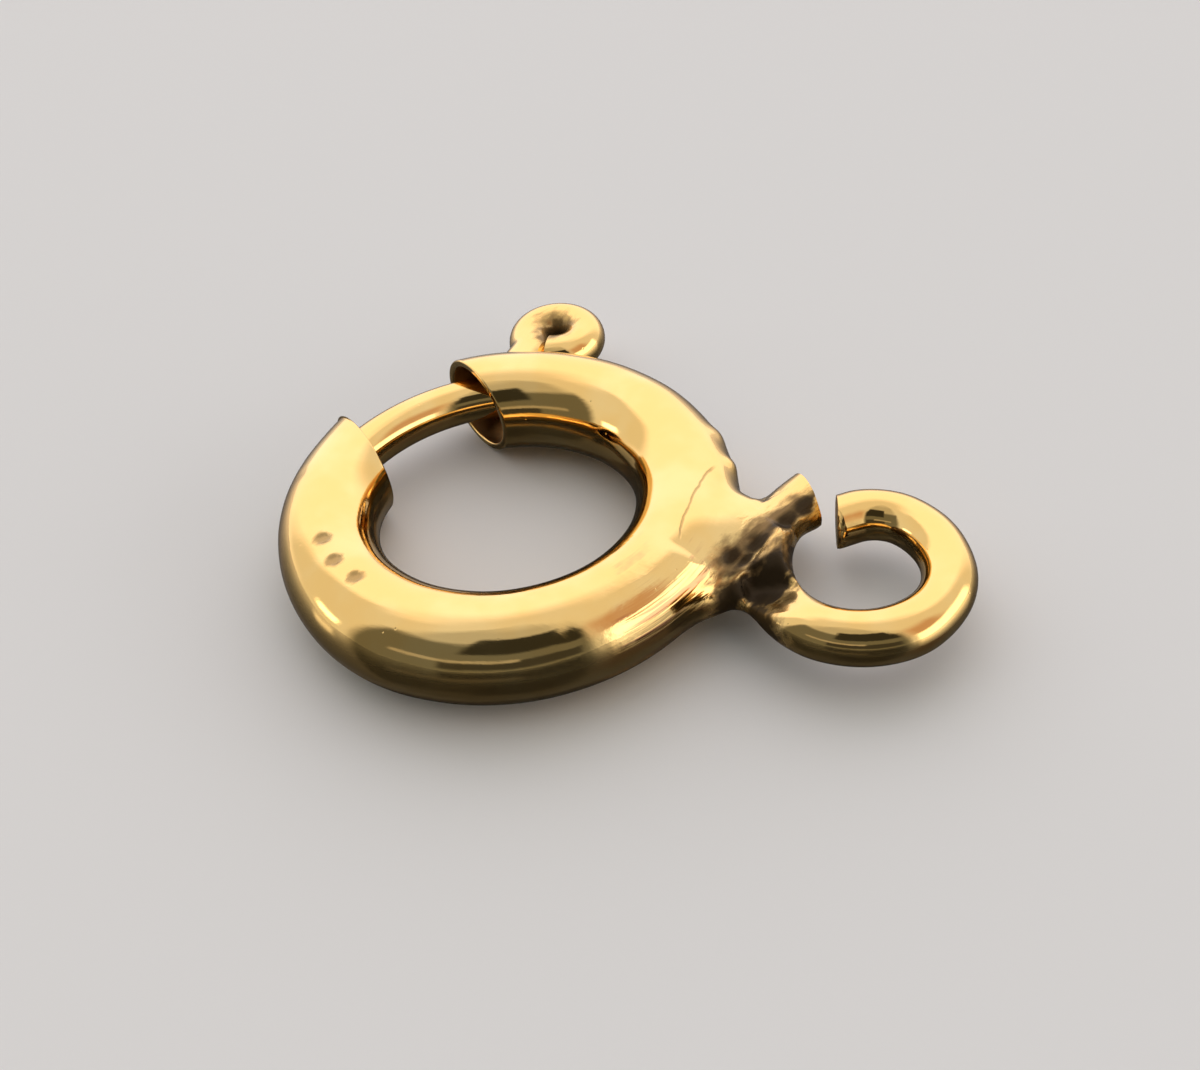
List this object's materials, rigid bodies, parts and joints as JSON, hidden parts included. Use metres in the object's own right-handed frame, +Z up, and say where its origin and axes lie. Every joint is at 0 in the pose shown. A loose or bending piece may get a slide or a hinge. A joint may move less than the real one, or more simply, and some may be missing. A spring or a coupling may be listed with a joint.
{
  "type": "spring ring clasp",
  "caption": "Spring ring clasp: a hollow tube ring closed by a sprung sliding bolt wire with a curled trigger, on a flared neck with an open end ring.",
  "frame": {"origin": "centre of the ring's opening, at the middle of the tube's height", "axes": "+X points from the ring to the end ring, +Z is the ring's axis, and the clasp lies flat on its side with +Z up"},
  "size_m": [0.0104, 0.0086, 0.0016],
  "materials": {
    "gold_plate": "polished gold plate over sterling silver, with fine wear",
    "bolt_gold": "polished gold plated wire, rubbed paler where it slides",
    "spring_steel": "bright spring steel"
  },
  "bodies": {
    "case": {"ring_case": "gold_plate", "coil_spring": "spring_steel"},
    "slider": {"bolt": "bolt_gold"}
  },
  "joints": [
    {"name": "bolt_slide", "type": "hinge", "parent": "case", "child": "slider", "pos_m": [0, 0, 0], "axis": [0, 0, -1], "range_deg": [0, 51.7], "stiffness_Nm_per_rad": 0.0015, "springref_deg": -17.19, "deforming": ["coil_spring"]}
  ]
}
